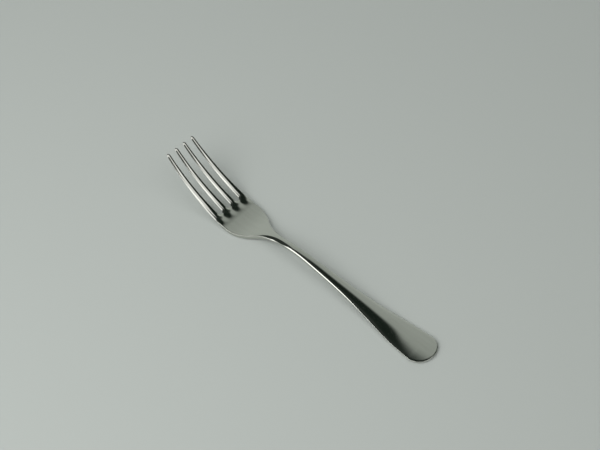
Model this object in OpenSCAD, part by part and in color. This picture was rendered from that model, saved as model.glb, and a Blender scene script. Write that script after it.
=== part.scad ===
// Serving fork with four tines, blanked, forged, slotted and bent from one piece of stainless steel.
// The flat blank runs along its station s, from the end of the handle to the points of the tines.
// The bent fork lies along +X on the table, z = 0, with its centre line in the plane y = 0.

/* [Outline] */
// Straight length from the end of the handle to the points of the tines
overall_length = 230; // [190:1:260]
// Width of the handle near its end
handle_width = 24; // [20:0.5:28]
// Width of the neck where it is narrowest
neck_width = 6; // [5:0.1:8]
// Width across the shoulders, where the slots begin
shoulder_width = 30.4; // [28:0.2:33]
// Width across the points of the outer tines
points_width = 25.2; // [24:0.2:28]
// Length of the rounded end of the handle
handle_round = 11; // [8:0.5:14]

/* [Tines] */
// Length of the slots between the tines, measured round the bend
slot_length = 56; // [45:1:60]
// Width of an inner tine beside the bottom of a slot
tine_base_width = 4.4; // [4:0.1:4.8]
// Extra width of an outer tine there, which tapers to nothing at its point
outer_extra = 0.7; // [0:0.1:1]
// Width of a tine where its point begins to round
tine_point_width = 2.5; // [2:0.1:3]
// Length of the rounded point of a tine
point_round = 2.6; // [1.5:0.1:4]
// Depth of the shallow flute that leads into each slot
flute_depth = 0.35; // [0:0.05:0.5]
// Length of that flute, behind the bottom of the slot
flute_length = 9; // [5:0.5:12]

/* [Bend] */
// Rise of the handle, which its steepest stretch just about reaches, in degrees
handle_rise = 6.5; // [3:0.5:9]
// Steepest fall of the neck towards the heel, in degrees
neck_fall = 15; // [10:0.5:20]
// Rise of the tines at their points, in degrees
points_rise = 44; // [30:1:48]

/* [Thickness] */
// Thickness of the handle at its end
end_thickness = 2.2; // [1.6:0.1:3]
// Thickness of the neck
neck_thickness = 4.2; // [3.2:0.1:5]
// Thickness between the shoulders
shoulder_thickness = 2.6; // [2.2:0.1:3.2]
// Thickness of the tines at their points
points_thickness = 1.6; // [1.2:0.1:2]
// Share of the handle's half thickness that its crowned top loses towards the edge
handle_crown = 0.65; // [0.3:0.05:0.7]

/* [Edges] */
// How far in from the edge its rounding reaches, on top of the handle
handle_edge = 0.16; // [0.1:0.02:0.4]
// The same on the back of the handle
handle_back_edge = 1.2; // [0.8:0.1:1.8]
// The same on the neck, top and back
neck_edge = 1.9; // [1.5:0.1:2.4]
// The same on the flat between the shoulders
root_edge = 0.35; // [0.25:0.05:0.6]
// The same on top of a tine, as a share of its width
tine_edge = 0.06; // [0.04:0.01:0.12]
// The same on the back of a tine
tine_back_edge = 0.5; // [0.3:0.05:0.5]
// Depth of the gentle roll of the top towards the edge of the handle
rim_depth = 0.32; // [0.2:0.02:0.36]
// How far in that roll reaches, where it is broadest
rim_reach = 2.3; // [1.8:0.1:2.6]
// Depth of the roll on a tine, as a share of half its thickness
tine_roll = 0.44; // [0.3:0.02:0.5]
// How far in it reaches, as a share of the tine's width
tine_roll_reach = 0.5; // [0.35:0.05:0.5]
// Height of a tine's widest line above its middle, as a share of half its thickness
tine_parting = 0.3; // [0:0.05:0.35]

/* [Hidden] */
steel = "#b9bcb6";

// Laws along the blank: each point is [share of the blank's length, value].
// Between two points runs a cubic. At each point it has the slope of the parabola through that point
// and its neighbours.
function span(p, i) = p[i + 1][0] - p[i][0];
function chord(p, i) = (p[i + 1][1] - p[i][1]) / span(p, i);
function inner_slope(p, i) =
    (chord(p, i - 1) * span(p, i) + chord(p, i) * span(p, i - 1)) / (span(p, i - 1) + span(p, i));
function slope(p, i) =
    i == 0 ? 2 * chord(p, 0) - inner_slope(p, 1)
    : i == len(p) - 1 ? 2 * chord(p, i - 1) - inner_slope(p, i - 1)
    : inner_slope(p, i);
function law(p, share) =
    let (
        i = max([for (k = [0 : len(p) - 2]) if (k == 0 || p[k][0] <= share) k]),
        u = (share - p[i][0]) / span(p, i),
        v = 1 - u
    )
    p[i][1] * v * v * (1 + 2 * u) + p[i + 1][1] * u * u * (1 + 2 * v)
    + span(p, i) * u * v * (slope(p, i) * v - slope(p, i + 1) * u);

function limited(t) = max(0, min(1, t));
function smooth(t) = let (c = limited(t)) c * c * (3 - 2 * c);

// Bend of the blank: pitch in degrees, positive where the fork rises towards the points.
pitch_law = [
    [0, -0.6 * handle_rise],
    [0.025, -0.42 * handle_rise],
    [0.045, -0.12 * handle_rise],
    [0.07, -0.05 * handle_rise],
    [0.1, 0.1 * handle_rise],
    [0.14, 0.66 * handle_rise],
    [0.2, 0.86 * handle_rise],
    [0.275, 0.94 * handle_rise],
    [0.35, 0.73 * handle_rise],
    [0.435, 0.61 * handle_rise],
    [0.495, -0.06 * neck_fall],
    [0.56, -0.65 * neck_fall],
    [0.638, -neck_fall],
    [0.7, 0],
    [0.763, 0.34 * points_rise],
    [0.842, 0.61 * points_rise],
    [0.917, 0.8 * points_rise],
    [1, points_rise],
];

// Half width of the blank: the taper of the handle, the flare of the shoulders and the taper of the tines.
handle_taper = [
    [0, 1.04],
    [0.06, 0.96],
    [0.125, 0.8],
    [0.21, 0.475],
    [0.31, 0.21],
    [0.425, 0.055],
    [0.525, 0],
];
shoulder_flare = [[0.583, 0.06], [0.621, 0.255], [0.654, 0.65], [0.692, 0.955], [0.742, 1]];
tine_taper = [[0.833, 0.25], [1, 1]];
half_width_law = [
    for (p = handle_taper) [p[0], (neck_width + (handle_width - neck_width) * p[1]) / 2],
    for (p = shoulder_flare) [p[0], (neck_width + (shoulder_width - neck_width) * p[1]) / 2],
    for (p = tine_taper) [p[0], (shoulder_width + (points_width - shoulder_width) * p[1]) / 2],
];

thickness_law = [
    [0, end_thickness],
    [0.08, 0.8 * end_thickness + 0.2 * neck_thickness],
    [0.29, 0.45 * end_thickness + 0.55 * neck_thickness],
    [0.49, neck_thickness],
    [0.6, 0.3 * shoulder_thickness + 0.7 * neck_thickness],
    [0.69, shoulder_thickness],
    [0.79, 0.9 * shoulder_thickness + 0.1 * points_thickness],
    [0.9, 0.5 * shoulder_thickness + 0.5 * points_thickness],
    [1, points_thickness],
];

// Share of the half thickness that the top and the back lose between centre line and edge.
// The back is flat across where the handle and the heel rest on the table.
top_crown_law = [
    [0, 0.75 * handle_crown],
    [0.125, handle_crown],
    [0.2, handle_crown],
    [0.3, 0.55 * handle_crown],
    [0.42, 0.28 * handle_crown],
    [0.52, 0.25 * handle_crown],
    [0.62, 0.1 * handle_crown],
    [0.7, 0],
    [0.76, 0],
    [1, 0],
];
back_crown_law = [
    [0, 0],
    [0.08, 0],
    [0.16, 0],
    [0.22, 0.08 * handle_crown],
    [0.32, 0.3 * handle_crown],
    [0.5, 0.45 * handle_crown],
    [0.62, 0.15 * handle_crown],
    [0.7, 0],
    [0.76, 0],
    [1, 0],
];

// How far in from an edge its rounding reaches, before the tines begin: on the top, then on the back.
edge_law = [
    [0, handle_edge],
    [0.18, handle_edge],
    [0.235, 1.6 * handle_edge],
    [0.315, 0.55 * neck_edge],
    [0.38, 0.85 * neck_edge],
    [0.44, neck_edge],
    [0.5, 0.9 * neck_edge],
    [0.54, 0.4 * neck_edge],
    [0.58, root_edge],
    [0.63, root_edge],
    [1, root_edge],
];
back_edge_law = [
    [0, handle_back_edge],
    [0.2, handle_back_edge],
    [0.42, neck_edge],
    [0.54, neck_edge],
    [0.6, 0.6 * neck_edge],
    [0.66, root_edge],
    [0.72, root_edge],
    [1, root_edge],
];

// Depth of the roll of the top towards an edge, and how far in it reaches, before the tines begin.
rim_law = [
    [0, 0.4 * rim_depth],
    [0.05, 0.45 * rim_depth],
    [0.12, rim_depth],
    [0.2, rim_depth],
    [0.33, 0.6 * rim_depth],
    [0.43, 0.1 * rim_depth],
    [0.49, 0.3 * rim_depth],
    [0.54, 2.4 * rim_depth],
    [0.58, 2.8 * rim_depth],
    [0.61, 1.7 * rim_depth],
    [0.645, 0.25 * rim_depth],
    [0.69, 0],
    [0.74, 0],
    [1, 0],
];
rim_reach_law = [[0, 0.55 * rim_reach], [0.12, 0.7 * rim_reach], [0.3, rim_reach], [1, rim_reach]];

// Centre line: a running sum of the pitch, as shares of the blank's length.
steps = 480;
pitch_list = [for (i = [0 : steps]) law(pitch_law, i / steps)];
run_list = [
    for (
        i = 0, x = 0, z = 0;
        i <= steps;
        x = x + (cos(pitch_list[i]) + cos(pitch_list[min(i + 1, steps)])) / (2 * steps),
        z = z + (sin(pitch_list[i]) + sin(pitch_list[min(i + 1, steps)])) / (2 * steps),
        i = i + 1
    ) [x, z]
];
blank_length = overall_length / run_list[steps][0];

// The zones of the blank: the handle ends and the neck begins here, and so do the neck and the root.
handle_share = 0.42;
neck_share = 0.615;
handle_end = handle_share * blank_length;
neck_end = neck_share * blank_length;

function between(list, share) =
    let (k = min(steps - 1, floor(share * steps)), f = share * steps - k)
    list[k] * (1 - f) + list[k + 1] * f;
function thickness(s) = law(thickness_law, s / blank_length);
function half_width(s) = law(half_width_law, s / blank_length);

// The fork lies on its handle and its heel, so the whole profile is turned until both are equally low.
// Each touches the table somewhere on its own stretch of the blank, in shares of the blank's length.
handle_rest = [0, 0.25];
heel_rest = [0.6, 0.85];
rest_step = 1 / 240;
rest_span = 0.64;
rest_rounds = 4;
function turned(s, tilt) =
    let (p = between(run_list, s / blank_length) * blank_length)
    [p[0] * cos(tilt) - p[1] * sin(tilt), p[0] * sin(tilt) + p[1] * cos(tilt)];
function lowest(rest, tilt) =
    min([for (k = [rest[0] : rest_step : rest[1]]) let (s = k * blank_length)
        turned(s, tilt)[1] - thickness(s) / 2 * cos(between(pitch_list, k) + tilt)]);
function settled(tilt, rounds) =
    rounds == 0 ? tilt
    : settled(
        tilt + atan((lowest(handle_rest, tilt) - lowest(heel_rest, tilt)) / (rest_span * blank_length)),
        rounds - 1
    );
rest_tilt = settled(0, rest_rounds);
drop = lowest(heel_rest, rest_tilt);
middle_x = (turned(0, rest_tilt)[0] + turned(blank_length, rest_tilt)[0]) / 2;

// Point of the bent fork at station s, y across and n above the blank's mid plane.
function bent(s, y, n) =
    let (p = turned(s, rest_tilt), pitch = between(pitch_list, s / blank_length) + rest_tilt)
    [p[0] - middle_x - n * sin(pitch), y, p[1] - drop + n * cos(pitch)];

// Slots and tines of the flat blank.
strips = 4;
slot_start = blank_length - slot_length;
point_start = blank_length - point_round;
function along_tine(s) = limited((s - slot_start) / slot_length);
function tine_width(s) = tine_base_width + (tine_point_width - tine_base_width) * along_tine(s);
// Distance between the middles of neighbouring tines
function tine_pitch(s) =
    (2 * half_width(s) - tine_width(s) - 2 * outer_extra * (1 - along_tine(s))) / (strips - 1);
slot_end_radius = (tine_pitch(slot_start) - tine_base_width) / 2;
slot_centre = slot_start + slot_end_radius;
function slot_half(s) =
    s >= slot_centre ? (tine_pitch(s) - tine_width(s)) / 2
    : s > slot_start ? sqrt(slot_end_radius ^ 2 - (slot_centre - s) ^ 2)
    : 0;

// Distance from a point of the blank to the edge of the outline and to the nearest slot.
function end_share(s) = max(0, (handle_round - s) / handle_round);
function edge_share(s, y) = norm([end_share(s), y / half_width(s)]);
function outline_distance(s, y) = half_width(s) * (1 - edge_share(s, y));
function slot_distance(s, y) =
    min([for (k = [-1 : 1]) let (across = abs(y - k * tine_pitch(s)))
        s < slot_centre ? norm([slot_centre - s, across]) - slot_end_radius
        : across - slot_half(s)]);
function edge_distance(s, y) =
    s < neck_end ? outline_distance(s, y)
    : min(outline_distance(s, y), slot_distance(s, y));

// Towards the tines, each size of the section changes over the length of a flute.
function flute_share(s) = smooth((s - slot_start + flute_length) / flute_length);
function towards_tine(s, before, on_tine) = before + (on_tine - before) * flute_share(s);
function edge_reach(s) = towards_tine(s, law(edge_law, s / blank_length), tine_edge * tine_width(s));
function back_reach(s) =
    towards_tine(s, law(back_edge_law, s / blank_length), tine_back_edge * tine_width(s));
function roll_depth(s) = towards_tine(s, law(rim_law, s / blank_length), tine_roll * thickness(s) / 2);
function roll_reach(s) =
    towards_tine(s, law(rim_reach_law, s / blank_length), tine_roll_reach * tine_width(s));
// Height of the widest line, where the top and the back meet, above the mid plane
function parting(s) = tine_parting * thickness(s) / 2 * flute_share(s);

// The edges are rounded as a quarter of an ellipse, and the points of the tines close in the same way.
function rounding(in) = sqrt(1 - (1 - limited(in)) ^ 2);
function point_share(s) = sqrt(max(0, 1 - (max(0, s - point_start) / point_round) ^ 2));

// Flutes between the ridges of the tines, fading out into the flat between the shoulders.
function flute(s, y) = flute_depth * flute_share(s) * (1 + cos(360 * y / tine_pitch(s))) / 2;
function roll(s, y) = roll_depth(s) * (1 - limited(edge_distance(s, y) / roll_reach(s))) ^ 2;

function crowned(s, y, crown_law) =
    thickness(s) / 2 * (1 - law(crown_law, s / blank_length) * edge_share(s, y) ^ 2);
function top(s, y) =
    let (face = crowned(s, y, top_crown_law) - flute(s, y) - roll(s, y))
    parting(s) + max(0, face - parting(s)) * rounding(edge_distance(s, y) / edge_reach(s));
function back(s, y) =
    let (face = -crowned(s, y, back_crown_law))
    parting(s) + (face - parting(s)) * rounding(edge_distance(s, y) / back_reach(s));

// Columns of points across the blank: four strips, one for each tine, closer together at the strip edges.
columns = 8;
across_all = strips * columns;
function eased(t) = (1 - cos(180 * t)) / 2;
function strip_edge(s, k) =
    let (
        outer = half_width(s) * sqrt(1 - end_share(s) ^ 2),
        blend = smooth((s - neck_end) / (slot_start - neck_end)),
        inner = outer / 2 * (1 - blend) + tine_pitch(s) * blend
    )
    [-outer, -inner, 0, inner, outer][k];
function row(s) = [
    for (j = [0 : across_all]) let (k = min(strips - 1, floor(j / columns)), t = j / columns - k)
        strip_edge(s, k) * (1 - eased(t)) + strip_edge(s, k + 1) * eased(t)
];
function tine_row(s, k) =
    let (
        shrink = point_share(s),
        low = k == 0 ? -half_width(s) : (k - strips / 2) * tine_pitch(s) + slot_half(s),
        high = k == strips - 1 ? half_width(s) : (k + 1 - strips / 2) * tine_pitch(s) - slot_half(s),
        middle = (low + high) / 2
    )
    [for (j = [0 : columns]) middle + (low + (high - low) * eased(j / columns) - middle) * shrink];

// One closed ring of points round the section at station s: the top from side to side, then the back.
function ring(s, ys) = concat(
    [for (y = ys) bent(s, y, top(s, y))],
    [for (j = [len(ys) - 2 : -1 : 1]) bent(s, ys[j], back(s, ys[j]))]
);
// Near the point, the section of a tine keeps its shape while it shrinks.
function tine_ring(s, k) =
    let (
        ys = tine_row(s, k),
        full = tine_row(min(s, point_start), k),
        shrink = point_share(s),
        from = min(s, point_start)
    )
    concat(
        [for (j = [0 : columns]) bent(s, ys[j], top(from, full[j]) * shrink)],
        [for (j = [columns - 1 : -1 : 1]) bent(s, ys[j], back(from, full[j]) * shrink)]
    );

// Loft: a closed skin over rings of the same count, with a flat end or a single end point.
// A pinched last ring has no thickness at the strip edges, where the slots begin.
module loft(rings, start_point = undef, end_point = undef, pinched = false) {
    count = len(rings[0]);
    half = count / 2;
    last = len(rings) - 1;
    function at(i, j) =
        let (c = j % count, under = count - c)
        i * count + (pinched && i == last && c > half && under % columns == 0 ? under : c);
    function below(j) = (count - j) % count;
    skin = [
        for (i = [0 : last - 1], j = [0 : count - 1], upper = [0, 1])
            upper == 0 ? [at(i, j), at(i, j + 1), at(i + 1, j + 1)]
            : [at(i, j), at(i + 1, j + 1), at(i + 1, j)]
    ];
    start_cap = is_undef(start_point)
        ? [for (j = [0 : half - 1], t = [[at(0, j), at(0, below(j + 1)), at(0, j + 1)],
            [at(0, j), at(0, below(j)), at(0, below(j + 1))]]) t]
        : [for (j = [0 : count - 1]) [at(0, j + 1), at(0, j), (last + 1) * count]];
    end_cap = is_undef(end_point)
        ? [for (j = [0 : half - 1], t = [[at(last, j), at(last, j + 1), at(last, below(j + 1))],
            [at(last, j), at(last, below(j + 1)), at(last, below(j))]]) t]
        : [for (j = [0 : count - 1]) [at(last, j), at(last, j + 1), (last + 1) * count]];
    faces = [for (f = concat(skin, start_cap, end_cap)) if (f[0] != f[1] && f[1] != f[2] && f[2] != f[0]) f];
    ends = concat(is_undef(start_point) ? [] : [start_point], is_undef(end_point) ? [] : [end_point]);
    polyhedron([for (r = concat(rings, [ends]), p = r) p], faces);
}

// Stations of the rings, closer together where the edges turn fast.
handle_rings = 18;
neck_rings = 14;
root_rings = 14;
tine_rings = 18;
round_reach = back_reach(slot_start);
function even(from, to, count) = [for (i = [0 : count]) from + (to - from) * i / count];
handle_stations = concat(
    [for (a = [10 : 10 : 80]) handle_round * (1 - cos(a))],
    even(handle_round, handle_end, handle_rings)
);
neck_stations = even(handle_end, neck_end, neck_rings);
root_stations = concat(
    even(neck_end, slot_start - round_reach, root_rings),
    [for (a = [20 : 17.5 : 90]) slot_start - round_reach * (1 - sin(a))]
);
tine_stations = concat(
    [for (a = [0 : 18 : 72]) slot_start + slot_end_radius * (1 - cos(a))],
    even(slot_centre, point_start, tine_rings),
    [for (a = [25 : 20 : 65]) point_start + point_round * sin(a)]
);

module handle() {
    color(steel)
        loft([for (s = handle_stations) ring(s, row(s))], start_point = bent(0, 0, 0));
}

module neck() {
    color(steel)
        loft([for (s = neck_stations) ring(s, row(s))]);
}

module tine_root() {
    color(steel)
        loft([for (s = root_stations) ring(s, row(s))], pinched = true);
}

// Tines are counted from the right, k = 0, to the left, k = 3, looking from the handle to the points.
module tine(k) {
    tip_row = tine_row(point_start, k);
    color(steel)
        loft(
            [for (s = tine_stations) tine_ring(s, k)],
            end_point = bent(blank_length, (tip_row[0] + tip_row[columns]) / 2, 0)
        );
}

handle();
neck();
tine_root();
tine(3);  // outer_left_tine
tine(2);  // inner_left_tine
tine(1);  // inner_right_tine
tine(0);  // outer_right_tine
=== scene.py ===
"""Four-tined serving fork in polished stainless steel, lying on a pale studio sweep.

The fork is one forged piece. Its surface follows the same laws along the flat blank as the solids do: a bent
centre line, a half width, a thickness and rounded edges. Only along the neck's flare does the edge differ
from theirs: its rounding is narrower here and its roll is deeper. A node tree sweeps that section along the
blank.
"""
import math

import bpy
import numpy as np
from mathutils import Matrix, Vector


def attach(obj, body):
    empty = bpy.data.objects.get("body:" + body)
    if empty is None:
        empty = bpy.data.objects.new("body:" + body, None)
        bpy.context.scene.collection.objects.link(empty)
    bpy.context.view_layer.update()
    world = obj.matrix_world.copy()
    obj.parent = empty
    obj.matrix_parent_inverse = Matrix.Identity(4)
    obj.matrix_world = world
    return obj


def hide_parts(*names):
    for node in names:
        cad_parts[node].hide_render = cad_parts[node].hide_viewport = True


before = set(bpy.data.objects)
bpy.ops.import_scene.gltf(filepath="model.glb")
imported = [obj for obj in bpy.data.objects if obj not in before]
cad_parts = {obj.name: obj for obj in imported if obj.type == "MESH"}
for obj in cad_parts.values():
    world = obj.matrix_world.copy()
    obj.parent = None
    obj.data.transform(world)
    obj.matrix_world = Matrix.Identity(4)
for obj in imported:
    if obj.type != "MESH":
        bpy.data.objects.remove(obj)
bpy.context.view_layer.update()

MM = 0.001

# Outline of the blank, in millimetres
OVERALL_LENGTH = 230.0
HANDLE_WIDTH = 24.0
NECK_WIDTH = 6.0
SHOULDER_WIDTH = 30.4
POINTS_WIDTH = 25.2
HANDLE_ROUND = 11.0

# Tines, in millimetres
TINES = 4
SLOT_LENGTH = 56.0
TINE_BASE_WIDTH = 4.4
OUTER_EXTRA = 0.7
TINE_POINT_WIDTH = 2.5
POINT_ROUND = 2.6
FLUTE_DEPTH = 0.35
FLUTE_LENGTH = 9.0
# The slots are numbered from the middle one, which is 0
LAST_SLOT = TINES / 2 - 1

# Bend of the blank, in degrees
HANDLE_RISE = 6.5
NECK_FALL = 15.0
POINTS_RISE = 44.0

# Thickness, in millimetres, and the share of half of it that the crowned top loses towards the edge
END_THICKNESS = 2.2
NECK_THICKNESS = 4.2
SHOULDER_THICKNESS = 2.6
POINTS_THICKNESS = 1.6
HANDLE_CROWN = 0.65

# How far in from an edge its rounding reaches, in millimetres, and as a share of a tine's width
HANDLE_EDGE = 0.16
HANDLE_BACK_EDGE = 1.2
NECK_EDGE = 1.9
ROOT_EDGE = 0.35
TINE_EDGE = 0.06
TINE_BACK_EDGE = 0.5
# Depth and reach of the gentle roll towards an edge, in millimetres
RIM_DEPTH = 0.32
RIM_REACH = 2.3
# The same on the tines, as shares of their half thickness and their width
TINE_ROLL = 0.44
TINE_ROLL_REACH = 0.5
# Height of a tine's widest line above its middle, as a share of half its thickness
TINE_PARTING = 0.3

# Laws along the blank: each point is (share of the blank's length, value)
# Pitch of the centre line, in degrees
PITCH_LAW = [
    (0, -0.6 * HANDLE_RISE), (0.025, -0.42 * HANDLE_RISE), (0.045, -0.12 * HANDLE_RISE),
    (0.07, -0.05 * HANDLE_RISE), (0.1, 0.1 * HANDLE_RISE), (0.14, 0.66 * HANDLE_RISE),
    (0.2, 0.86 * HANDLE_RISE), (0.275, 0.94 * HANDLE_RISE), (0.35, 0.73 * HANDLE_RISE),
    (0.435, 0.61 * HANDLE_RISE), (0.495, -0.06 * NECK_FALL), (0.56, -0.65 * NECK_FALL),
    (0.638, -NECK_FALL), (0.7, 0), (0.763, 0.34 * POINTS_RISE), (0.842, 0.61 * POINTS_RISE),
    (0.917, 0.8 * POINTS_RISE), (1, POINTS_RISE),
]
# Width, as a share of the change from the neck's to the handle's, from the neck's to the shoulders', and from
# the shoulders' to the points'
HANDLE_TAPER = [
    (0, 1.04), (0.06, 0.96), (0.125, 0.8), (0.21, 0.475), (0.31, 0.21), (0.425, 0.055), (0.525, 0),
]
SHOULDER_FLARE = [(0.583, 0.06), (0.621, 0.255), (0.654, 0.65), (0.692, 0.955), (0.742, 1)]
TINE_TAPER = [(0.833, 0.25), (1, 1)]
HALF_WIDTH_LAW = [
    (share, (start + (end - start) * part) / 2)
    for start, end, points in (
        (NECK_WIDTH, HANDLE_WIDTH, HANDLE_TAPER),
        (NECK_WIDTH, SHOULDER_WIDTH, SHOULDER_FLARE),
        (SHOULDER_WIDTH, POINTS_WIDTH, TINE_TAPER),
    )
    for share, part in points
]
THICKNESS_LAW = [
    (0, END_THICKNESS), (0.08, 0.8 * END_THICKNESS + 0.2 * NECK_THICKNESS),
    (0.29, 0.45 * END_THICKNESS + 0.55 * NECK_THICKNESS), (0.49, NECK_THICKNESS),
    (0.6, 0.3 * SHOULDER_THICKNESS + 0.7 * NECK_THICKNESS), (0.69, SHOULDER_THICKNESS),
    (0.79, 0.9 * SHOULDER_THICKNESS + 0.1 * POINTS_THICKNESS),
    (0.9, 0.5 * SHOULDER_THICKNESS + 0.5 * POINTS_THICKNESS), (1, POINTS_THICKNESS),
]
# Share of the half thickness that the top and the back lose between centre line and edge
TOP_CROWN_LAW = [
    (0, 0.75 * HANDLE_CROWN), (0.125, HANDLE_CROWN), (0.2, HANDLE_CROWN), (0.3, 0.55 * HANDLE_CROWN),
    (0.42, 0.28 * HANDLE_CROWN), (0.52, 0.25 * HANDLE_CROWN), (0.62, 0.1 * HANDLE_CROWN),
    (0.7, 0), (0.76, 0), (1, 0),
]
BACK_CROWN_LAW = [
    (0, 0), (0.08, 0), (0.16, 0), (0.22, 0.08 * HANDLE_CROWN), (0.32, 0.3 * HANDLE_CROWN),
    (0.5, 0.45 * HANDLE_CROWN), (0.62, 0.15 * HANDLE_CROWN), (0.7, 0), (0.76, 0), (1, 0),
]
# Reach of the edge's rounding before the tines begin, on the top and on the back, in millimetres
EDGE_LAW = [
    (0, HANDLE_EDGE), (0.18, HANDLE_EDGE), (0.235, 1.6 * HANDLE_EDGE), (0.315, 0.55 * NECK_EDGE),
    (0.38, 0.85 * NECK_EDGE), (0.44, NECK_EDGE), (0.5, 0.9 * NECK_EDGE), (0.535, 0.3 * NECK_EDGE),
    (0.565, ROOT_EDGE), (0.63, ROOT_EDGE), (1, ROOT_EDGE),
]
BACK_EDGE_LAW = [
    (0, HANDLE_BACK_EDGE), (0.2, HANDLE_BACK_EDGE), (0.42, NECK_EDGE), (0.54, NECK_EDGE),
    (0.6, 0.6 * NECK_EDGE), (0.66, ROOT_EDGE), (0.72, ROOT_EDGE), (1, ROOT_EDGE),
]
# Reach and depth of the roll of the top towards an edge before the tines begin, in millimetres
RIM_REACH_LAW = [(0, 0.55 * RIM_REACH), (0.12, 0.7 * RIM_REACH), (0.3, RIM_REACH), (1, RIM_REACH)]
RIM_LAW = [
    (0, 0.4 * RIM_DEPTH), (0.05, 0.45 * RIM_DEPTH), (0.12, RIM_DEPTH), (0.2, RIM_DEPTH),
    (0.33, 0.6 * RIM_DEPTH), (0.43, 0.1 * RIM_DEPTH), (0.49, 0.3 * RIM_DEPTH), (0.535, 3.2 * RIM_DEPTH),
    (0.575, 4.6 * RIM_DEPTH), (0.61, 1.8 * RIM_DEPTH), (0.64, 0.25 * RIM_DEPTH),
    (0.69, 0), (0.74, 0), (1, 0),
]
# Where the neck ends and the strips start to spread to the tines' spacing, as a share of the blank's length
NECK_END = 0.615

# The fork lies on its handle and its heel. Each touches the table somewhere on its own stretch of the blank,
# given in shares of the blank's length, as are the step of the search and the span between the two.
HANDLE_REST = (0, 0.25)
HEEL_REST = (0.6, 0.85)
REST_STEP = 1 / 240
REST_SPAN = 0.64
REST_ROUNDS = 4

# Rows of the swept mesh on each stretch of the blank, and columns across each tine's strip
END_ROWS = 24
BODY_ROWS = 320
ROOT_EDGE_ROWS = 14
SLOT_END_ROWS = 14
TINE_ROWS = 110
POINT_ROWS = 12
COLUMNS = 20
# Points of the mesh that are closer than this are merged, in millimetres
MERGE_DISTANCE = 0.002
# A point this close to an edge, in millimetres, counts as on it, so that the top and the back meet there
ROUND_OFF = 0.00002

# Camera that was fitted to the photograph's outline, in millimetres and degrees
LENS = 85.0
SENSOR = 36.0
CAMERA_TURN = 42.69
CAMERA_RISE = 50.671
CAMERA_DISTANCE = 979.0
LOOK_AT = (22.8, -23.54, 0.0)

# Steel: its colour, and the shade that its polish lines vary to
STEEL_COLOUR = "#D1D2CB"
STEEL_SHADE = "#C7C8C0"
# Marks on the steel: length along the blank and width across it, in millimetres, and turn in degrees.
# Real polish lines and hairlines are some hundredths of a millimetre wide. They are drawn this coarse so that
# they show at all.
STEEL_MARKS = {
    "polish": (30.0, 0.8, 0.0),
    "smear": (34.0, 7.0, 14.0),
    "hairline": (10.0, 0.5, 26.0),
    "cross_hairline": (8.0, 0.5, -40.0),
}
MARK_DETAIL = 2.0
# Hairlines are where their noise rises above the first of these values, and full above the second
HAIRLINE_START = 0.66
HAIRLINE_FULL = 0.74
# How far in from an edge the steel is worn dull, in millimetres
WEAR_REACH = 0.9
# Roughness of clean polish, and what each kind of mark adds to it
POLISH_ROUGHNESS = 0.055
SMEAR_ROUGHNESS = 0.05
LINE_ROUGHNESS = 0.03
HAIRLINE_ROUGHNESS = 0.12
WEAR_ROUGHNESS = 0.1
# Depth of the polish lines, in millimetres
LINE_DEPTH = 0.0012
# A Mix node has a socket of the same name for each type of data, so its colours go by number
MIX_FIRST_COLOUR = 6
MIX_SECOND_COLOUR = 7
MIX_COLOUR = 2

# Paper sweep that the fork lies on, with its side in millimetres
FLOOR_SIZE = 8000.0
SWEEP_COLOUR = "#B1B6B2"
PAPER_ROUGHNESS = 0.9
PAPER_GLOSS = 0.0

# Studio as the steel sees it. Each patch has the azimuths of its sides, to the right of straight ahead of the
# camera, the elevations of its foot and head, and the widths of its soft borders at the sides and at foot and
# head, all in degrees, then the slope of its foot with azimuth, and its brightness.
STUDIO_WALLS = {
    "sweep": (-40, 31, -90, 61, 6, 7, 0, 0.8),
    "sweep_foot": (-40, 31, -90, 42, 6, 50, 0, 0.28),
    "horizon": (31, 320, -90, 3, 6, 6, 0, 0.95),
    "left_wall": (-150, -22, 20, 88, 44, 16, 0, 0.05),
}
STUDIO_LIGHT = {
    "wall_right": (67, 116, 39, 88, 12, 18, -0.74, 0.9),
    "ceiling_behind": (118, 190, 50, 88, 10, 8, 0, 1.0),
    "window": (-120, -105, 2, 30, 5, 6, 0, 2.4),
    "window_beside_camera": (-180, -122, 17, 66, 8, 8, -0.9, 1.4),
    "wall_behind": (100, 152, 26, 54, 12, 8, 0, 0.55),
}
STUDIO_DARK = "#1D2520"
LIGHT_COLOUR = "#FFFFFF"

# Fills: azimuth and elevation in degrees, size in millimetres and power in watts
FILLS = {
    "fill_left": (-130, 48, 800, 6.6),
    "fill_above": (-100, 82, 1600, 2.7),
}
FILL_DISTANCE = 1050.0


def linear(code):
    """Linear colour, with alpha, of an sRGB hex value."""
    channels = [int(code[i:i + 2], 16) / 255 for i in (1, 3, 5)]
    return [c / 12.92 if c <= 0.04045 else ((c + 0.055) / 1.055) ** 2.4 for c in channels] + [1.0]


def add(tree, kind, inputs=None, **settings):
    """Adds a node with its settings, and sets or links its inputs by name or number."""
    node = tree.nodes.new(kind)
    for name, value in settings.items():
        setattr(node, name, value)
    for name, value in (inputs or {}).items():
        if isinstance(value, bpy.types.NodeSocket):
            tree.links.new(value, node.inputs[name])
        else:
            node.inputs[name].default_value = value
    return node


def work_out(tree, known, steps):
    """Adds a line of arithmetic per step: its name, the operation, and numbers or names already known."""
    for name, operation, *terms in steps:
        values = {i: known[t] if isinstance(t, str) else t for i, t in enumerate(terms)}
        known[name] = add(tree, "ShaderNodeMath", values, operation=operation, label=name).outputs[0]


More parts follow.
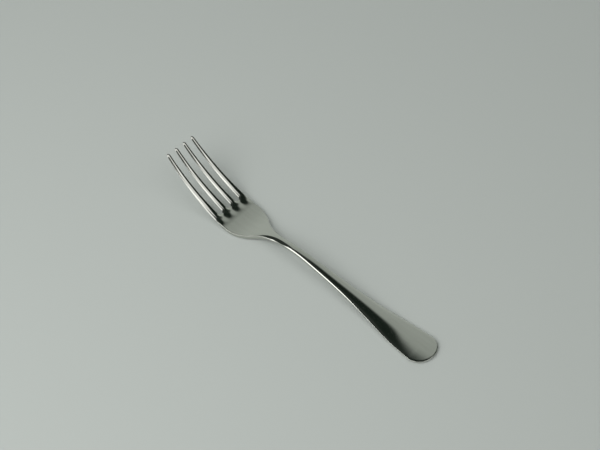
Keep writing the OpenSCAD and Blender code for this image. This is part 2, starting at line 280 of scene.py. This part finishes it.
def law(points, share):
    """Cubic through the points, with the slope of the parabola through each point and its neighbours."""
    xs, ys = np.array(points, float).T
    gap = np.diff(xs)
    chord = np.diff(ys) / gap
    slope = np.empty_like(ys)
    slope[1:-1] = (chord[:-1] * gap[1:] + chord[1:] * gap[:-1]) / (gap[:-1] + gap[1:])
    slope[0] = 2 * chord[0] - slope[1]
    slope[-1] = 2 * chord[-1] - slope[-2]
    i = np.clip(np.searchsorted(xs, share, "right") - 1, 0, len(gap) - 1)
    u = (share - xs[i]) / gap[i]
    v = 1 - u
    ends = ys[i] * v * v * (1 + 2 * u) + ys[i + 1] * u * u * (1 + 2 * v)
    return ends + gap[i] * u * v * (slope[i] * v - slope[i + 1] * u)


def smooth(t):
    """Step from 0 to 1 that starts and ends gently."""
    c = np.clip(t, 0, 1)
    return c * c * (3 - 2 * c)


class Blank:
    """The flat blank and its bend, worked out from the driving sizes, in millimetres.

    A station s is a distance along the blank from the end of the handle.
    """

    # Steps in which the bend is summed up
    STEPS = 480

    def __init__(self):
        self.shares = np.linspace(0, 1, self.STEPS + 1)
        self.pitch = np.radians(law(PITCH_LAW, self.shares))
        self.run = [self.running_sum(f(self.pitch)) for f in (np.cos, np.sin)]
        self.length = OVERALL_LENGTH / self.run[0][-1]
        self.slot_start = self.length - SLOT_LENGTH
        self.point_start = self.length - POINT_ROUND
        self.slot_radius = (self.spacing(self.slot_start) - TINE_BASE_WIDTH) / 2
        self.slot_centre = self.slot_start + self.slot_radius
        self.settle()

    def running_sum(self, values):
        """Sum of the values up to each step, as a share of the blank's length."""
        return np.concatenate([[0], np.cumsum((values[1:] + values[:-1]) / (2 * self.STEPS))])

    def along(self, points, s):
        """Value of a law at station s."""
        return law(points, s / self.length)

    def half_width(self, s):
        """Half width of the whole blank."""
        return self.along(HALF_WIDTH_LAW, s)

    def end_share(self, s):
        """How far s lies into the handle's round end: 0 where that begins, 1 at the very end."""
        return np.clip((HANDLE_ROUND - s) / HANDLE_ROUND, 0, 1)

    def along_tine(self, s):
        """How far s lies along the tines: 0 at the bottom of the slots, 1 at the points."""
        return np.clip((s - self.slot_start) / SLOT_LENGTH, 0, 1)

    def tine_width(self, s):
        """Width of an inner tine, which tapers towards its point."""
        return TINE_BASE_WIDTH + (TINE_POINT_WIDTH - TINE_BASE_WIDTH) * self.along_tine(s)

    def spacing(self, s):
        """Distance between the middles of neighbouring slots."""
        extra = 2 * OUTER_EXTRA * (1 - self.along_tine(s))
        return (2 * self.half_width(s) - self.tine_width(s) - extra) / (TINES - 1)

    def slot_half(self, s):
        """Half width of a slot: a round end, then the gap between two tines."""
        ahead = np.clip(self.slot_centre - s, 0, self.slot_radius)
        round_end = np.sqrt(self.slot_radius ** 2 - ahead ** 2)
        return np.where(s >= self.slot_centre, (self.spacing(s) - self.tine_width(s)) / 2, round_end)

    def centre_line(self, s, tilt):
        """Place and pitch of the centre line, with the whole profile turned by the tilt."""
        x, z = (np.interp(s / self.length, self.shares, r) * self.length for r in self.run)
        pitch = np.interp(s / self.length, self.shares, self.pitch) + tilt
        return x * math.cos(tilt) - z * math.sin(tilt), x * math.sin(tilt) + z * math.cos(tilt), pitch

    def lowest(self, rest, tilt):
        """Height of the lowest point of the back on one of the stretches that can rest on the table."""
        s = np.arange(*rest, REST_STEP) * self.length
        _, z, pitch = self.centre_line(s, tilt)
        return np.min(z - self.along(THICKNESS_LAW, s) / 2 * np.cos(pitch))

    def settle(self):
        """Turns the profile until the handle and the heel are equally low, and puts it on the table."""
        self.tilt = 0.0
        for _ in range(REST_ROUNDS):
            difference = self.lowest(HANDLE_REST, self.tilt) - self.lowest(HEEL_REST, self.tilt)
            self.tilt += math.atan(difference / (REST_SPAN * self.length))
        self.drop = self.lowest(HEEL_REST, self.tilt)
        ends = self.centre_line(np.array([0, self.length]), self.tilt)[0]
        self.middle = ends.mean()

    def rows(self):
        """Stations of the mesh's rows, closer together where an edge turns fast."""
        reach = TINE_EDGE * TINE_BASE_WIDTH
        quarter = math.pi / 2
        return np.concatenate([
            HANDLE_ROUND * (1 - np.cos(np.linspace(0, quarter, END_ROWS)))[:-1],
            np.linspace(HANDLE_ROUND, self.slot_start - reach, BODY_ROWS)[:-1],
            self.slot_start - reach * (1 - np.sin(np.linspace(0, quarter, ROOT_EDGE_ROWS)))[:-1],
            self.slot_start + self.slot_radius * (1 - np.cos(np.linspace(0, quarter, SLOT_END_ROWS)))[:-1],
            np.linspace(self.slot_centre, self.point_start, TINE_ROWS)[:-1],
            self.point_start + POINT_ROUND * np.sin(np.linspace(0, quarter, POINT_ROWS)),
        ])

    def strip_edges(self, s, k):
        """Both edges of strip k, which is a tine beyond the bottom of the slots."""
        outer = self.half_width(s) * np.sqrt(1 - self.end_share(s) ** 2)
        blend = smooth((s / self.length - NECK_END) / (self.slot_start / self.length - NECK_END))
        inner = outer / 2 * (1 - blend) + self.spacing(s) * blend
        gap = np.where(s > self.slot_start, self.slot_half(s), 0)
        low = -outer if k == 0 else (k - TINES / 2) * inner + gap
        high = outer if k == TINES - 1 else (k + 1 - TINES / 2) * inner - gap
        return low, high

    def path(self, k):
        """What the section at each row of strip k is made from.

        Near the point the section keeps its shape and shrinks.
        """
        s = self.rows()
        section = np.minimum(s, self.point_start)
        x, z, pitch = self.centre_line(s, self.tilt)
        low, high = self.strip_edges(section, k)
        near_low, near_high = self.strip_edges(s, k)
        flute_share = smooth((section - self.slot_start + FLUTE_LENGTH) / FLUTE_LENGTH)
        thickness = self.along(THICKNESS_LAW, section)
        tine_width = self.tine_width(section)
        reach, back_reach, roll, roll_reach = (
            before + (on_tine - before) * flute_share for before, on_tine in (
                (self.along(EDGE_LAW, section), TINE_EDGE * tine_width),
                (self.along(BACK_EDGE_LAW, section), TINE_BACK_EDGE * tine_width),
                (self.along(RIM_LAW, section), TINE_ROLL * thickness / 2),
                (self.along(RIM_REACH_LAW, section), TINE_ROLL_REACH * tine_width),
            )
        )
        slot_gap = np.where(s < self.slot_centre, self.slot_radius, self.slot_half(section))
        point = np.clip((s - self.point_start) / POINT_ROUND, 0, 1)
        lengths = {
            "station": s, "low": low, "high": high, "centre": (near_low + near_high) / 2,
            "x": x - self.middle, "z": z - self.drop, "half_width": self.half_width(section),
            "thickness": thickness, "spacing": self.spacing(section),
            "reach": reach, "back_reach": back_reach, "roll": roll, "roll_reach": roll_reach,
            "parting": TINE_PARTING * thickness / 2 * flute_share,
            "slot_ahead": np.clip(self.slot_centre - s, 0, None), "slot_gap": slot_gap,
        }
        shares = {
            "sine": np.sin(pitch), "cosine": np.cos(pitch),
            "top_crown": self.along(TOP_CROWN_LAW, section),
            "back_crown": self.along(BACK_CROWN_LAW, section),
            "end_share": self.end_share(s), "flute_share": flute_share, "shrink": np.sqrt(1 - point ** 2),
        }
        return {**{name: values * MM for name, values in lengths.items()}, **shares}


# The section at one point of the swept sheet, worked out from what its row holds
SECTION_STEPS = [
    # Place across the strip, with the columns closer together towards its edges
    ("column", "ADD", "grid_x", 0.5),
    ("turn", "MULTIPLY", "column", math.pi),
    ("turn_cosine", "COSINE", "turn"),
    ("eased", "MULTIPLY_ADD", "turn_cosine", -0.5, 0.5),
    ("width", "SUBTRACT", "high", "low"),
    ("across", "MULTIPLY_ADD", "width", "eased", "low"),
    # Distance in from the blank's outline, which is round at the end of the handle
    ("across_share", "DIVIDE", "across", "half_width"),
    ("across_square", "MULTIPLY", "across_share", "across_share"),
    ("edge_square", "MULTIPLY_ADD", "end_share", "end_share", "across_square"),
    ("edge_share", "SQRT", "edge_square"),
    ("inside", "SUBTRACT", 1.0, "edge_share"),
    ("outline_distance", "MULTIPLY", "half_width", "inside"),
    # Distance from the nearest slot, and from the nearer of the two edges
    ("slot_number", "DIVIDE", "across", "spacing"),
    ("slot_rounded", "ROUND", "slot_number"),
    ("slot_left", "MINIMUM", "slot_rounded", LAST_SLOT),
    ("slot_nearest", "MAXIMUM", "slot_left", -LAST_SLOT),
    ("slot_middle", "MULTIPLY", "slot_nearest", "spacing"),
    ("slot_side", "SUBTRACT", "across", "slot_middle"),
    ("slot_side_square", "MULTIPLY", "slot_side", "slot_side"),
    ("slot_square", "MULTIPLY_ADD", "slot_ahead", "slot_ahead", "slot_side_square"),
    ("slot_reach", "SQRT", "slot_square"),
    ("slot_distance", "SUBTRACT", "slot_reach", "slot_gap"),
    ("edge_distance", "MINIMUM", "outline_distance", "slot_distance"),
    ("edge_clear", "SUBTRACT", "edge_distance", ROUND_OFF * MM),
    ("edge_depth", "MAXIMUM", "edge_clear", 0.0),
    # Rounding of the edge, with a reach of its own on the top and on the back
    ("reach_change", "SUBTRACT", "back_reach", "reach"),
    ("reach_here", "MULTIPLY_ADD", "reach_change", "behind", "reach"),
    ("edge_part", "DIVIDE", "edge_depth", "reach_here"),
    ("edge_within", "MINIMUM", "edge_part", 1.0),
    ("edge_left", "SUBTRACT", 1.0, "edge_within"),
    ("edge_fall", "MULTIPLY", "edge_left", "edge_left"),
    ("edge_kept", "SUBTRACT", 1.0, "edge_fall"),
    ("rounding", "SQRT", "edge_kept"),
    # Roll towards the edge and flutes that deepen towards the slots, both on the top alone
    ("roll_part", "DIVIDE", "edge_depth", "roll_reach"),
    ("roll_within", "MINIMUM", "roll_part", 1.0),
    ("roll_left", "SUBTRACT", 1.0, "roll_within"),
    ("roll_curve", "MULTIPLY", "roll_left", "roll_left"),
    ("roll_fall", "MULTIPLY", "roll_curve", "roll"),
    ("flute_turn", "MULTIPLY", "slot_number", 2 * math.pi),
    ("flute_cosine", "COSINE", "flute_turn"),
    ("flute_wave", "MULTIPLY_ADD", "flute_cosine", 0.5, 0.5),
    ("flute_here", "MULTIPLY", "flute_wave", "flute_share"),
    ("flute", "MULTIPLY", "flute_here", "flute_depth"),
    ("front", "SUBTRACT", 1.0, "behind"),
    ("hollowed", "ADD", "flute", "roll_fall"),
    ("front_fall", "MULTIPLY", "hollowed", "front"),
    # Height from the middle of the thickness: crowned, rolled, and rounded towards the widest line
    ("crown_change", "SUBTRACT", "back_crown", "top_crown"),
    ("crown", "MULTIPLY_ADD", "crown_change", "behind", "top_crown"),
    ("crown_fall", "MULTIPLY", "crown", "edge_square"),
    ("crown_kept", "SUBTRACT", 1.0, "crown_fall"),
    ("half_thickness", "MULTIPLY", "thickness", 0.5),
    ("crowned", "MULTIPLY", "half_thickness", "crown_kept"),
    ("rolled", "SUBTRACT", "crowned", "front_fall"),
    ("facing", "MULTIPLY_ADD", "behind", -2.0, 1.0),
    ("parting_here", "MULTIPLY", "parting", "facing"),
    ("over_parting", "SUBTRACT", "rolled", "parting_here"),
    ("rounded", "MULTIPLY_ADD", "over_parting", "rounding", "parting_here"),
    ("shrunk", "MULTIPLY", "rounded", "shrink"),
    ("height", "MULTIPLY", "shrunk", "facing"),
    # Place on the bent blank
    ("lean", "MULTIPLY", "height", "sine"),
    ("final_x", "SUBTRACT", "x", "lean"),
    ("final_z", "MULTIPLY_ADD", "height", "cosine", "z"),
    ("strip_sum", "ADD", "low", "high"),
    ("strip_middle", "MULTIPLY", "strip_sum", 0.5),
    ("aside", "SUBTRACT", "across", "strip_middle"),
    ("final_y", "MULTIPLY_ADD", "aside", "shrink", "centre"),
]


def sweep_tree(row_values):
    """Node tree that turns the strips' paths into the closed skin of the fork."""
    tree = bpy.data.node_groups.new("fork_sweep", "GeometryNodeTree")
    sockets = {}
    for name, kind, way in (
        ("Paths", "NodeSocketGeometry", "INPUT"),
        ("Rows", "NodeSocketInt", "INPUT"),
        ("Columns", "NodeSocketInt", "INPUT"),
        ("Strips", "NodeSocketInt", "INPUT"),
        ("Flute Depth", "NodeSocketFloat", "INPUT"),
        ("Merge Distance", "NodeSocketFloat", "INPUT"),
        ("Steel", "NodeSocketMaterial", "INPUT"),
        ("Skin", "NodeSocketGeometry", "OUTPUT"),
    ):
        sockets[name] = tree.interface.new_socket(name, in_out=way, socket_type=kind).identifier
    given = add(tree, "NodeGroupInput").outputs

    # One flat grid, from -0.5 to 0.5 each way, for the top and one for the back of each strip, in that order
    known = {"rows": given["Rows"], "columns": given["Columns"], "strips": given["Strips"],
             "flute_depth": given["Flute Depth"]}
    work_out(tree, known, [
        ("last_row", "SUBTRACT", "rows", 1.0),
        ("column_points", "ADD", "columns", 1.0),
        ("sheets", "MULTIPLY", "strips", 2.0),
    ])
    grid = add(tree, "GeometryNodeMeshGrid", {
        "Size X": 1.0, "Size Y": 1.0, "Vertices X": known["column_points"], "Vertices Y": given["Rows"],
    }).outputs["Mesh"]
    seats = add(tree, "GeometryNodePoints", {"Count": known["sheets"]}).outputs[0]
    index = add(tree, "GeometryNodeInputIndex").outputs[0]
    numbered = add(tree, "GeometryNodeStoreNamedAttribute", {
        "Geometry": seats, "Name": "sheet", "Value": index,
    }, data_type="FLOAT", domain="POINT").outputs[0]
    copies = add(tree, "GeometryNodeInstanceOnPoints", {"Points": numbered, "Instance": grid}).outputs[0]
    flat = add(tree, "GeometryNodeRealizeInstances", {"Geometry": copies}).outputs[0]

    # Which strip, side and row a point belongs to, and what that row holds
    place = add(tree, "ShaderNodeSeparateXYZ", {0: add(tree, "GeometryNodeInputPosition").outputs[0]}).outputs
    sheet = add(tree, "GeometryNodeInputNamedAttribute", {"Name": "sheet"}, data_type="FLOAT")
    known.update(grid_x=place["X"], grid_y=place["Y"], sheet=sheet.outputs["Attribute"])
    work_out(tree, known, [
        ("behind", "MODULO", "sheet", 2.0),
        ("half_sheet", "MULTIPLY", "sheet", 0.5),
        ("strip", "FLOOR", "half_sheet"),
        ("row_share", "ADD", "grid_y", 0.5),
        ("row_place", "MULTIPLY", "row_share", "last_row"),
        ("row", "ROUND", "row_place"),
        ("sample", "MULTIPLY_ADD", "strip", "rows", "row"),
    ])
    for name in row_values:
        value = add(tree, "GeometryNodeInputNamedAttribute", {"Name": name}, data_type="FLOAT")
        known[name] = add(tree, "GeometryNodeSampleIndex", {
            "Geometry": given["Paths"], "Value": value.outputs["Attribute"], "Index": known["sample"],
        }, data_type="FLOAT", domain="POINT").outputs[0]
    work_out(tree, known, SECTION_STEPS)

    # The blank's own coordinates and the distance to the edge stay on the skin, for the polish and the wear
    on_blank, bent = (
        add(tree, "ShaderNodeCombineXYZ", {axis: known[name] for axis, name in zip("XYZ", names)}).outputs[0]
        for names in (("station", "across", "height"), ("final_x", "final_y", "final_z"))
    )
    marked = add(tree, "GeometryNodeStoreNamedAttribute", {
        "Geometry": flat, "Name": "blank", "Value": on_blank,
    }, data_type="FLOAT_VECTOR", domain="POINT").outputs[0]
    edged = add(tree, "GeometryNodeStoreNamedAttribute", {
        "Geometry": marked, "Name": "edge", "Value": known["edge_depth"],
    }, data_type="FLOAT", domain="POINT").outputs[0]
    # A row runs across, along +Y, and the next row lies further along +X, so the top sheets face down
    # until they are flipped
    turned = add(tree, "GeometryNodeFlipFaces", {"Mesh": edged, "Selection": known["front"]}).outputs[0]
    swept = add(tree, "GeometryNodeSetPosition", {"Geometry": turned, "Position": bent}).outputs[0]
    closed = add(tree, "GeometryNodeMergeByDistance", {
        "Geometry": swept, "Distance": given["Merge Distance"],
    }).outputs[0]
    soft = add(tree, "GeometryNodeSetShadeSmooth", {"Geometry": closed, "Shade Smooth": True}).outputs[0]
    whole = add(tree, "GeometryNodeRealizeInstances", {"Geometry": soft}).outputs[0]
    steel = add(tree, "GeometryNodeSetMaterial", {"Geometry": whole, "Material": given["Steel"]}).outputs[0]
    add(tree, "NodeGroupOutput", {"Skin": steel})
    return tree, sockets


def polished_steel():
    """Stainless steel, mirror polished: a warm grey mirror that shows the studio.

    Fine lines along the blank streak its reflections a little, smears and hairlines dull it in places, and
    the edges are worn dull, so that no stretch of it is a perfect mirror.
    """
    material = bpy.data.materials.new("mirror_polished_stainless_steel")
    material.use_nodes = True
    tree = material.node_tree
    tree.nodes.clear()
    place = add(tree, "ShaderNodeAttribute", attribute_name="blank").outputs["Vector"]
    known = {"edge": add(tree, "ShaderNodeAttribute", attribute_name="edge").outputs["Fac"]}
    for name, (length, width, turn) in STEEL_MARKS.items():
        turned = add(tree, "ShaderNodeVectorRotate", {
            "Vector": place, "Angle": math.radians(turn),
        }, rotation_type="Z_AXIS").outputs[0]
        scaled = add(tree, "ShaderNodeVectorMath", {
            0: turned, 1: (1 / (length * MM), 1 / (width * MM), 1 / (width * MM)),
        }, operation="MULTIPLY").outputs[0]
        known[name] = add(tree, "ShaderNodeTexNoise", {
            "Vector": scaled, "Scale": 1.0, "Detail": MARK_DETAIL,
        }).outputs[0]
    for name, value, none, full in (
        ("hairline", "hairline", HAIRLINE_START, HAIRLINE_FULL),
        ("cross_hairline", "cross_hairline", HAIRLINE_START, HAIRLINE_FULL),
        ("near_edge", "edge", WEAR_REACH * MM, 0.0),
    ):
        known[name] = add(tree, "ShaderNodeMapRange", {
            "Value": known[value], "From Min": none, "From Max": full,
        }, interpolation_type="SMOOTHSTEP").outputs[0]
    work_out(tree, known, [
        ("hairlines", "MAXIMUM", "hairline", "cross_hairline"),
        ("worn", "MULTIPLY", "near_edge", "smear"),
        ("smeared", "MULTIPLY_ADD", "smear", SMEAR_ROUGHNESS, POLISH_ROUGHNESS),
        ("lined", "MULTIPLY_ADD", "polish", LINE_ROUGHNESS, "smeared"),
        ("scratched", "MULTIPLY_ADD", "hairlines", HAIRLINE_ROUGHNESS, "lined"),
        ("roughness", "MULTIPLY_ADD", "worn", WEAR_ROUGHNESS, "scratched"),
    ])
    colour = add(tree, "ShaderNodeMix", {
        "Factor": known["polish"],
        MIX_FIRST_COLOUR: linear(STEEL_COLOUR), MIX_SECOND_COLOUR: linear(STEEL_SHADE),
    }, data_type="RGBA").outputs[MIX_COLOUR]
    lines = add(tree, "ShaderNodeBump", {"Height": known["polish"], "Distance": LINE_DEPTH * MM}).outputs[0]
    shader = add(tree, "ShaderNodeBsdfPrincipled", {
        "Base Color": colour, "Metallic": 1.0, "Roughness": known["roughness"], "Normal": lines,
    })
    add(tree, "ShaderNodeOutputMaterial", {"Surface": shader.outputs[0]})
    return material


def matt_paper():
    """Matt paper, uncoated: an even pale grey without any gloss, on which the fork's soft shadow shows."""
    material = bpy.data.materials.new("matt_paper_sweep")
    material.use_nodes = True
    tree = material.node_tree
    tree.nodes.clear()
    shader = add(tree, "ShaderNodeBsdfPrincipled", {
        "Base Color": linear(SWEEP_COLOUR), "Roughness": PAPER_ROUGHNESS, "Specular IOR Level": PAPER_GLOSS,
    })
    add(tree, "ShaderNodeOutputMaterial", {"Surface": shader.outputs[0]})
    return material


def make_fork(steel):
    """The fork's skin: paths along the four strips, swept by the node tree and turned to a plain mesh."""
    blank = Blank()
    paths = [blank.path(k) for k in range(TINES)]
    rows = len(paths[0]["station"])
    values = {name: np.concatenate([p[name] for p in paths]) for name in paths[0]}
    # One point for each row of each strip, which holds the row's values
    mesh = bpy.data.meshes.new("fork_paths")
    mesh.vertices.add(TINES * rows)
    for name, column in values.items():
        mesh.attributes.new(name, "FLOAT", "POINT").data.foreach_set("value", column.astype(np.float32))
    fork = bpy.data.objects.new("fork", mesh)
    bpy.context.scene.collection.objects.link(fork)

    tree, sockets = sweep_tree(list(values))
    sweep = fork.modifiers.new("sweep", "NODES")
    sweep.node_group = tree
    for name, value in (
        ("Rows", rows), ("Columns", COLUMNS), ("Strips", TINES), ("Flute Depth", FLUTE_DEPTH * MM),
        ("Merge Distance", MERGE_DISTANCE * MM), ("Steel", steel),
    ):
        sweep[sockets[name]] = value
    evaluated = fork.evaluated_get(bpy.context.evaluated_depsgraph_get())
    skin = bpy.data.meshes.new_from_object(evaluated)
    fork.modifiers.remove(sweep)
    fork.data = skin
    skin.name = "fork"
    bpy.data.meshes.remove(mesh)
    return fork


def camera_axes():
    """The camera's right, its level direction ahead, and its line of sight."""
    turn, rise = math.radians(CAMERA_TURN), math.radians(CAMERA_RISE)
    right = Vector((-math.cos(turn), -math.sin(turn), 0))
    ahead = Vector((math.sin(turn), -math.cos(turn), 0))
    sight = ahead * math.cos(rise) - Vector((0, 0, math.sin(rise)))
    return right, ahead, sight


def make_camera():
    """Camera at the photograph's place, turned along its line of sight."""
    right, _, sight = camera_axes()
    data = bpy.data.cameras.new("camera")
    data.lens = LENS
    data.sensor_width = SENSOR
    camera = bpy.data.objects.new("camera", data)
    bpy.context.scene.collection.objects.link(camera)
    turned = Matrix((right, right.cross(sight), -sight)).transposed().to_4x4()
    camera.matrix_world = Matrix.Translation((Vector(LOOK_AT) - sight * CAMERA_DISTANCE) * MM) @ turned
    bpy.context.scene.camera = camera


def make_floor(paper):
    """Level square of paper under the fork, which is stage and not part of the object."""
    half = FLOOR_SIZE * MM / 2
    corners = [(-half, -half, 0), (half, -half, 0), (half, half, 0), (-half, half, 0)]
    mesh = bpy.data.meshes.new("floor")
    mesh.from_pydata(corners, [], [(0, 1, 2, 3)])
    mesh.materials.append(paper)
    floor = bpy.data.objects.new("floor", mesh)
    bpy.context.scene.collection.objects.link(floor)


def add_patch(tree, known, left, right, low, high, side_border, level_border, lean, brightness):
    """Adds one soft patch of the studio to the sum of their brightness."""
    middle = (left + right) / 2
    half = (right - left) / 2
    work_out(tree, known, [
        ("turned", "SUBTRACT", "azimuth", math.radians(middle)),
        ("wrapped", "WRAP", "turned", math.pi, -math.pi),
        ("aside", "ABSOLUTE", "wrapped"),
        ("above", "MULTIPLY_ADD", "wrapped", -lean, "elevation"),
    ])
    for edge, angle, none, full in (
        ("side", "aside", half + side_border / 2, half - side_border / 2),
        ("foot", "above", low - level_border / 2, low + level_border / 2),
        ("head", "elevation", high + level_border / 2, high - level_border / 2),
    ):
        known[edge] = add(tree, "ShaderNodeMapRange", {
            "Value": known[angle], "From Min": math.radians(none), "From Max": math.radians(full),
        }, interpolation_type="SMOOTHSTEP").outputs[0]
    work_out(tree, known, [
        ("upright", "MULTIPLY", "foot", "head"),
        ("patch", "MULTIPLY", "upright", "side"),
        ("sum", "MULTIPLY_ADD", "patch", brightness, "sum"),
    ])


def make_studio():
    """World that the steel mirrors: a dark room, with soft patches of pale walls and of light added to it."""
    world = bpy.data.worlds.new("studio")
    bpy.context.scene.world = world
    world.use_nodes = True
    tree = world.node_tree
    tree.nodes.clear()
    right, ahead, _ = camera_axes()
    way = add(tree, "ShaderNodeTexCoord").outputs["Generated"]
    known = {"up": add(tree, "ShaderNodeSeparateXYZ", {0: way}).outputs["Z"]}
    for name, axis in (("ahead", ahead), ("right", right)):
        part = add(tree, "ShaderNodeVectorMath", {0: way, 1: axis}, operation="DOT_PRODUCT")
        known[name] = part.outputs["Value"]
    work_out(tree, known, [
        ("elevation", "ARCSINE", "up"),
        ("azimuth", "ARCTAN2", "right", "ahead"),
    ])
    room = add(tree, "ShaderNodeBackground", {"Color": linear(STUDIO_DARK)}).outputs[0]
    for patches, colour in ((STUDIO_WALLS, SWEEP_COLOUR), (STUDIO_LIGHT, LIGHT_COLOUR)):
        known["sum"] = add(tree, "ShaderNodeValue").outputs[0]
        known["sum"].default_value = 0.0
        for patch in patches.values():
            add_patch(tree, known, *patch)
        shade = add(tree, "ShaderNodeBackground", {"Color": linear(colour), "Strength": known["sum"]})
        room = add(tree, "ShaderNodeAddShader", {0: room, 1: shade.outputs[0]}).outputs[0]
    add(tree, "ShaderNodeOutputWorld", {"Surface": room})


def make_fills():
    """Broad lamps that bring the paper near its written colour, hidden from the steel's reflections."""
    right, ahead, _ = camera_axes()
    for name, (azimuth, elevation, size, power) in FILLS.items():
        fill = bpy.data.lights.new(name, "AREA")
        fill.size = size * MM
        fill.energy = power
        turn, rise = math.radians(azimuth), math.radians(elevation)
        level = ahead * math.cos(turn) + right * math.sin(turn)
        place = level * math.cos(rise) + Vector((0, 0, math.sin(rise)))
        lamp = bpy.data.objects.new(name, fill)
        lamp.location = place * FILL_DISTANCE * MM
        lamp.rotation_euler = place.to_track_quat("Z", "Y").to_euler()
        lamp.visible_glossy = False
        bpy.context.scene.collection.objects.link(lamp)


make_camera()
make_floor(matt_paper())
make_studio()
make_fills()
fork = make_fork(polished_steel())
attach(fork, "root")
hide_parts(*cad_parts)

bpy.context.scene.view_settings.view_transform = "Standard"
